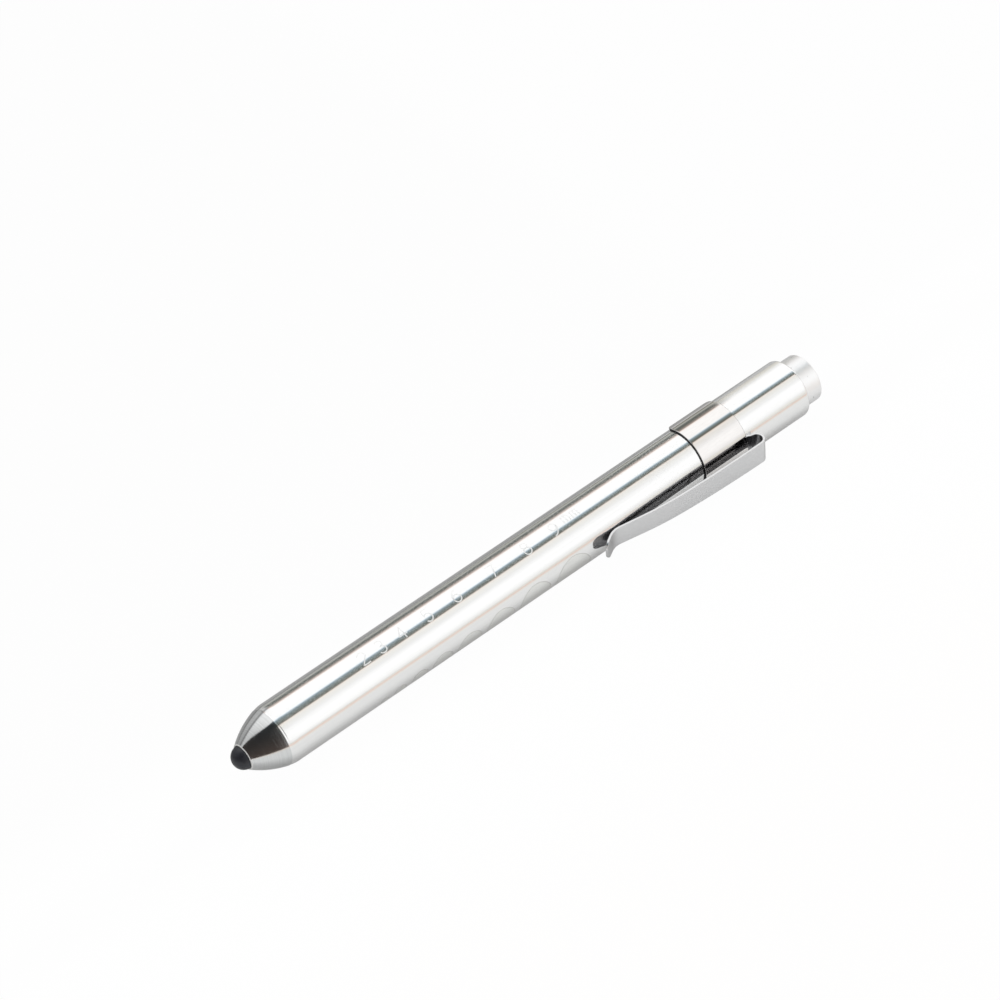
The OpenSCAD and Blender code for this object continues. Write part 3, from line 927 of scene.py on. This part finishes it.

# %% [markdown]
# ## The clip
# One strip of spring steel leaves the band, turns back on itself and runs along the barrel in a slow fall, touches it
# with a heel and flares out at the tip. The solids cut it at the crown of the turn, where it flexes. Here it is one
# unbroken strip, swept along the same bends with rolled edges. The bends are the maker's: a length and an angle each.
# The strip starts under the band's skin and narrows from the turn to the tip. Its inside is painted dark as shade,
# within the turn and where it faces the tube, and so is what the tube mirrors there.

# %% Route of the strip, from the band to the tip
clip_joint = next(j for j in frame["joints"] if j["name"] == "clip_flex")
crown = Vector(clip_joint["pos_m"])
strip_low, strip_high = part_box("clip_arm")
strip_width = strip_high.z - strip_low.z
strip_thick = 2 * (strip_high.x - crown.x)
root_gap = 0.05 * MM
root_height = tube_r + root_gap + strip_thick / 2
turn_radius = (axis_y - crown.y) - root_height
root_run = crown.x - turn_radius - barrel_end
root_lap = 0.7 * MM
flare_angle = 30.0
# Each bend is (length in metres, turn in degrees)
fall_bends = [(8.0 * MM, 1.4), (12.0 * MM, 2.2), (10.5 * MM, 7.2)]
fall_angle = sum(turn for length, turn in fall_bends)
foot_run = 5.0 * MM
heel_radius = 4.0 * MM
heel_angle = fall_angle + flare_angle
flare_run = 2.8 * MM
bends = ([(root_lap + root_run, 0.0), (turn_radius * math.pi, 180.0)] + fall_bends
         + [(foot_run, 0.0), (heel_radius * math.radians(heel_angle), -heel_angle), (flare_run, 0.0)])


def walk(bends, degrees_per_step=3.0, longest_step=1.0 * MM):
    """Points (along, height over the axis), headings and run lengths down the middle of the strip."""
    along, height, heading, run = barrel_end - root_lap, root_height, 0.0, 0.0
    route = [(along, height, heading, run)]
    for length, turn in bends:
        steps = max(math.ceil(abs(turn) / degrees_per_step), math.ceil(length / longest_step))
        for i in range(steps):
            middle = math.radians(heading + turn / steps / 2)
            along += length / steps * math.cos(middle)
            height += length / steps * math.sin(middle)
            heading += turn / steps
            run += length / steps
            route.append((along, height, heading, run))
    return route


route = walk(bends)
strip_length = route[-1][3]
print(f"strip is {strip_length / MM:.1f} mm long, {strip_width / MM:.2f} wide and {strip_thick / MM:.2f} thick")

# %% Strip with rolled edges and a round tip
edge_round = 0.06 * MM
edge_line = 0.03 * MM
edge_steps = 4
least_half_width = 1.2 * edge_round
tip_width = 4.35 * MM
tip_round = 1.7 * MM
tip_steps = 14
root_drop = 0.04 * MM
taper_start = barrel_end + root_run
taper_end = route[-1][0] + tip_round


def strip_section(half_width):
    """Rounded outline of the strip as (across, out), with a point beside each round that keeps the rest flat."""
    flat_x, flat_y = half_width - edge_round, strip_thick / 2 - edge_round
    beside = min(edge_line, 0.4 * flat_x)
    section = []
    for corner, (sx, sy) in enumerate([(1, 1), (-1, 1), (-1, -1), (1, -1)]):
        turns = [math.radians(90 * corner + 90 * i / edge_steps) for i in range(edge_steps + 1)]
        bend = [Vector((sx * flat_x, sy * flat_y)) + edge_round * Vector((math.cos(t), math.sin(t))) for t in turns]
        first_way, last_way = [Vector((-math.sin(t), math.cos(t))) for t in (turns[0], turns[-1])]
        section += [bend[0] - beside * first_way] + bend + [bend[-1] + beside * last_way]
    return section


def at_run(run):
    """The route's place and heading after a length of strip."""
    for a, b in zip(route, route[1:]):
        if run <= b[3]:
            t = (run - a[3]) / (b[3] - a[3])
            return tuple(p + (q - p) * t for p, q in zip(a, b))
    return route[-1]


runs = [r[3] for r in route if r[3] < strip_length - tip_round]
runs += [strip_length - tip_round * (1 - math.sin(math.radians(90 * i / tip_steps))) for i in range(tip_steps + 1)]
strip_points = []
for run in runs:
    along, height, heading, _ = at_run(run)
    turn = math.radians(heading)
    left_over = min(strip_length - run, tip_round)
    taper = min(1.0, max(0.0, (taper_start - along) / (taper_start - taper_end)))
    lost = tip_round - math.sqrt(max(tip_round ** 2 - (tip_round - left_over) ** 2, 0))
    half_width = (strip_width + (tip_width - strip_width) * taper) / 2 - lost
    curl = min(1.0, max(0.0, 1 - (run - root_lap) / root_run))
    for across, out in strip_section(max(half_width, least_half_width)):
        sag = curl * (root_drop + root_height - math.sqrt(root_height ** 2 - across ** 2))
        strip_points.append((along - out * math.sin(turn),
                             axis_y - (height + out * math.cos(turn) - sag), axis_z + across))
strip_sides = 4 * (edge_steps + 3)
strip_faces = tube_faces(len(runs), strip_sides)
strip = piece("clip_strip", strip_points, strip_faces, finishes["rolled_strip"], "plated_clip")
# Painted shade on the strip's inside
strip.data.materials.append(finishes["painted_shade_inside"])
# Sides of the section that lie inside the turn, and face the tube after it
inner_sides = range(edge_steps + 1, edge_steps + 4)
for i, face in enumerate(strip.data.polygons):
    if i < (len(runs) - 1) * strip_sides and i % strip_sides in inner_sides:
        face.material_index = 1
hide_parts("clip_arm")
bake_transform(strip)

# %% [markdown]
# ### The band
# The band is a short plated sleeve with rolled edges, open at the back so that it springs on to the tube. Its front
# edge draws the black line across the barrel: the face under the rolled corner is painted nearly black, a painted shade
# and dark reflection that the barrel mirrors too. The rolled corner catches a bright thread of light beside it. At the
# rear the faces that look back are painted as dark, which leaves a finer line. The profile is turned from one side of
# the opening to the other, and gets shorter near each end, where the corners of the sheet are cut round.

# %% Band round the barrel
band_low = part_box("clip_band")[0]
skin_inset = 0.004 * MM
band_gap = 0.02 * MM
band_r = axis_z - band_low.z - skin_inset
band_in = tube_r + band_gap
band_edge = 0.13 * MM
band_opening = 4.25 * MM
front_corner, rear_corner = 2.5 * MM, 1.4 * MM
flat_from = 0.05 * MM
corner_steps, plain_steps = 24, 88
# X part of a face's normal below which it is painted dark in front, and above which it is painted dark at the rear
dark_front_below, dark_rear_above = -0.9, 0.3


def rolled_sleeve(start, stop, inner, outer, edge, steps=5):
    """Profile of a sleeve whose outer corners are rolled. A line beside each roll keeps the rest flat."""
    turns = [math.radians(90 * i / steps) for i in range(steps + 1)]
    front = [(start + edge * (1 - math.cos(t)), outer - edge * (1 - math.sin(t))) for t in turns]
    back = [(stop - edge * (1 - math.sin(t)), outer - edge * (1 - math.cos(t))) for t in turns]
    flat = [(start + edge + flat_from, outer), (stop - edge - flat_from, outer)]
    return [(start, inner)] + front + flat + back + [(stop, inner)]


def corner_cut(height, corner):
    """How much of the sheet's length a round corner takes, at a height over the middle of the opening."""
    inside = min(max(band_opening + corner - height, 0.0), corner)
    return corner - math.sqrt(corner ** 2 - inside ** 2)


# Heights over the opening's middle on one side: fine steps round the corner, then even turns to the clip
corner_turns = [math.radians(90 * i / corner_steps) for i in range(corner_steps + 1)]
corner_heights = [band_opening + front_corner * (1 - math.cos(turn)) for turn in corner_turns]
half_turns = [180 - math.degrees(math.asin(h / band_r)) for h in corner_heights]
cuts = [tuple(corner_cut(h, corner) for corner in (front_corner, rear_corner)) for h in corner_heights]
half_turns += [half_turns[-1] * (1 - i / plain_steps) for i in range(1, plain_steps + 1)]
cuts += [(0.0, 0.0)] * plain_steps
half_sheet = list(zip(half_turns, cuts))
turns_and_cuts = half_sheet + [(-turn, cut) for turn, cut in reversed(half_sheet[:-1])]
band_points = []
for i, (turn, (front_cut, rear_cut)) in enumerate(turns_and_cuts):
    skin = band_r - (band_edge if i in (0, len(turns_and_cuts) - 1) else 0.0)
    sheet_edge = rolled_sleeve(band_low.x + front_cut, barrel_end - rear_cut, band_in, skin, band_edge)
    band_points += [round_pen(along, turn, out) for along, out in sheet_edge]
band_faces = tube_faces(len(turns_and_cuts), len(band_points) // len(turns_and_cuts))
band = piece("clip_sleeve", band_points, band_faces, finishes["plated_clip"], "plated_clip", "barrel")
# The front and rear faces get the near-black painted shade and dark reflection
band.data.materials.append(finishes["painted_dark_edge"])
for face in band.data.polygons:
    if face.normal.x < dark_front_below or face.normal.x > dark_rear_above:
        face.material_index = 1
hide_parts("clip_band")

# %% [markdown]
# ## The thread
# Unscrewing the tail shows the bush that holds it, and a bush without a thread would look like a pipe. The ridge is a
# true helix of 0.75 mm pitch: the radius of every point follows from how far along and how far round it is. Both ends
# run out to the root, as a cut thread does.

# %% Threaded bush
bush_low, bush_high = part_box("thread_bush")
bush_r = (bush_high.z - bush_low.z) / 2
bush_bore = 4.75 * MM
thread_pitch = 0.75 * MM
thread_depth = 0.34 * MM
crest_over = 0.03 * MM
thread_crest = bush_r + crest_over
run_out = 1.0 * MM
# The form's height at the crest, cut off at 1, and how fast it falls with the phase
form_top, form_slope = 1.25, 3.0
bush_sides = 72
steps_per_pitch = 8


def ridge(along, degrees):
    """Radius of the thread at a place: a flat-topped ridge that fades in at both ends of the bush."""
    phase = (along / thread_pitch - degrees / 360) % 1
    form = min(1.0, max(0.0, form_top - form_slope * abs(phase - 0.5)))
    near_end = min(along - bush_low.x, bush_high.x - along)
    return thread_crest - thread_depth * (1 - form * min(1.0, near_end / run_out))


bush_rows = math.ceil((bush_high.x - bush_low.x) / thread_pitch * steps_per_pitch)
bush_along = [bush_low.x + (bush_high.x - bush_low.x) * i / bush_rows for i in range(bush_rows + 1)]
bush_points = []
for i in range(bush_sides):
    turn = 360 * i / bush_sides
    bush_points += [round_pen(a, turn, ridge(a, turn)) for a in bush_along]
    bush_points += [round_pen(a, turn, bush_bore) for a in (bush_high.x, bush_low.x)]
bush_faces = tube_faces(bush_sides, bush_rows + 3, closed=True)
bush = piece("threaded_bush", bush_points, bush_faces, finishes["bare_thread"], "bare_thread", "tail", sharp_over=60)
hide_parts("thread_bush")

# %% [markdown]
# ## The two springs
# The coil behind the cells and the one under the button are drawn wire. The solids keep them coarse, so each is wound
# again with round wire. Both have a closed turn at each end, where the wire lies flat on its seat. The button's spring
# shortens with the button; here it rides on the tail with a mesh of its own.

# %% Springs wound from round wire
rings_per_turn = 40
wire_sides = 12
closed_turn = 0.75
# Climb of a closed turn, in radii of the wire
closed_climb = 2.3


def wound(node_name, wire_r, turns):
    """Points and faces of a coil that fills a solid's box along the pen, with closed ends."""
    low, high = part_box(node_name)
    coil_r = (high.z - low.z) / 2 - wire_r
    first, last = low.x + wire_r, high.x - wire_r
    end_pitch = closed_climb * wire_r
    free_climb = (last - first - 2 * closed_turn * end_pitch) / (turns - 2 * closed_turn)
    count = math.ceil(turns * rings_per_turn)
    points = []
    for i in range(count + 1):
        t = turns * i / count
        in_ends = min(t, closed_turn) + max(0.0, t - (turns - closed_turn))
        along = first + in_ends * end_pitch + (t - in_ends) * free_climb
        for k in range(wire_sides):
            spin = 2 * math.pi * k / wire_sides
            points.append(round_pen(along + wire_r * math.sin(spin), 360 * t, coil_r + wire_r * math.cos(spin)))
    return points, tube_faces(count + 1, wire_sides)


battery_coil = piece("battery_coil", *wound("battery_spring", wire_r=0.35 * MM, turns=6.0),
                     finishes["spring_wire"], "spring_wire", "spring_end")
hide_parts("battery_spring")
return_coil = piece("return_coil", *wound("return_spring", wire_r=0.225 * MM, turns=3.5),
                    finishes["spring_wire"], "spring_wire", "tail")
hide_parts("return_spring")
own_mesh(return_coil)
